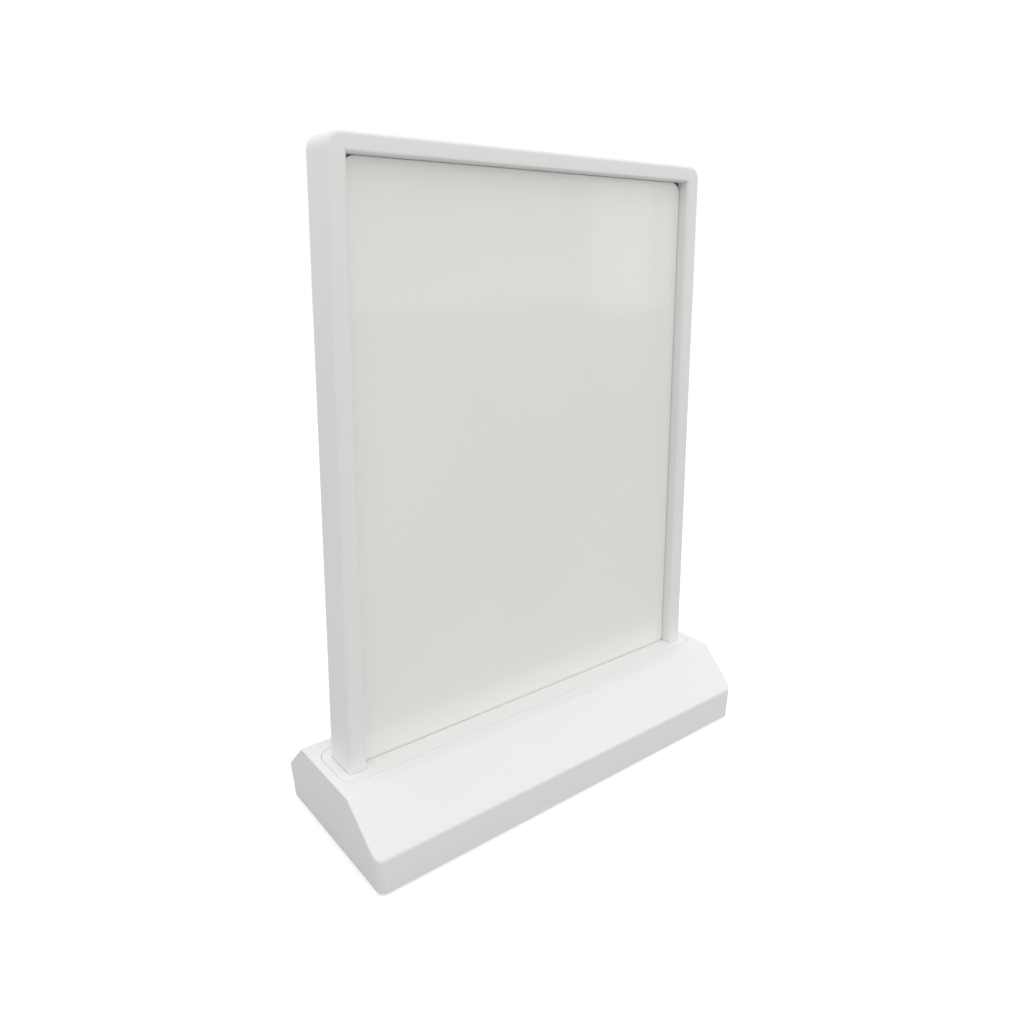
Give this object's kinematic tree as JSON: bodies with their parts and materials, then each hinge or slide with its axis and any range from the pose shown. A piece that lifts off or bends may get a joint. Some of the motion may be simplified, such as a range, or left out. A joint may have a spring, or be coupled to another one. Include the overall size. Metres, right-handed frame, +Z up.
{
  "type": "tabletop light panel",
  "caption": "Upright edge-lit light panel in a slim white frame that plugs into a wedge-sided tabletop base with a rear power button and charging port.",
  "frame": {"origin": "on the table, under the middle of the base, level with the bottoms of the rubber feet", "axes": "+Z up, +X along the base to the right of someone facing the front, front face towards -Y"},
  "size_m": [0.176, 0.065, 0.23],
  "materials": {
    "white_shell": "satin moulded white plastic with a very fine spark texture",
    "white_frame": "satin white plastic, smoother than the base",
    "opal_sheet": "glossy opal acrylic, pale grey-green when unlit",
    "guide_clear": "clear acrylic",
    "pipe_clear": "frosted clear plastic",
    "tape_white": "thin white tape",
    "foot_rubber": "matt black rubber",
    "pad_foam": "closed-cell foam tape",
    "black_plastic": "matt black plastic",
    "connector_plastic": "natural nylon",
    "cell_can": "shrink sleeve over a metal can",
    "lead_skin": "soft insulation",
    "board_green": "solder-masked board",
    "lamp_phosphor": "yellow phosphor lamps",
    "screw_steel": "plated steel",
    "port_steel": "drawn stainless shell",
    "contact_brass": "turned brass"
  },
  "bodies": {
    "base": {"base_housing": "white_shell", "panel_socket": "white_shell", "socket_screws": "screw_steel", "contact_sleeves": "contact_brass", "bottom_cover": "white_shell", "cover_screws": "screw_steel", "rubber_feet": "foot_rubber", "battery_pad": "pad_foam", "battery_tray": "black_plastic", "battery_cells": "cell_can", "battery_tabs": "screw_steel", "battery_leads": "lead_skin", "control_board": "board_green", "board_screws": "screw_steel", "board_chips": "black_plastic", "lead_connectors": "connector_plastic", "lamp_leads": "lead_skin", "usb_shell": "port_steel", "usb_tongue": "black_plastic", "switch_body": "black_plastic", "charge_led": "lamp_phosphor", "light_pipe": "pipe_clear"},
    "panel": {"panel_frame": "white_frame", "front_sheet": "opal_sheet", "rear_sheet": "opal_sheet", "front_tape": "tape_white", "rear_tape": "tape_white", "light_guide": "guide_clear", "edge_reflector": "tape_white", "led_rail": "white_frame", "rail_screws": "screw_steel", "led_strip": "board_green", "led_lamps": "lamp_phosphor", "contact_pins": "contact_brass"},
    "button": {"power_button": "white_shell", "switch_plunger": "connector_plastic"}
  },
  "joints": [
    {"name": "panel_lift", "type": "slide", "parent": "base", "child": "panel", "axis": [0, 0, 1], "range_m": [0, 0.025]},
    {"name": "button_press", "type": "slide", "parent": "base", "child": "button", "axis": [0, -1, 0], "range_m": [0, 0.0008], "stiffness_N_per_m": 1500}
  ]
}
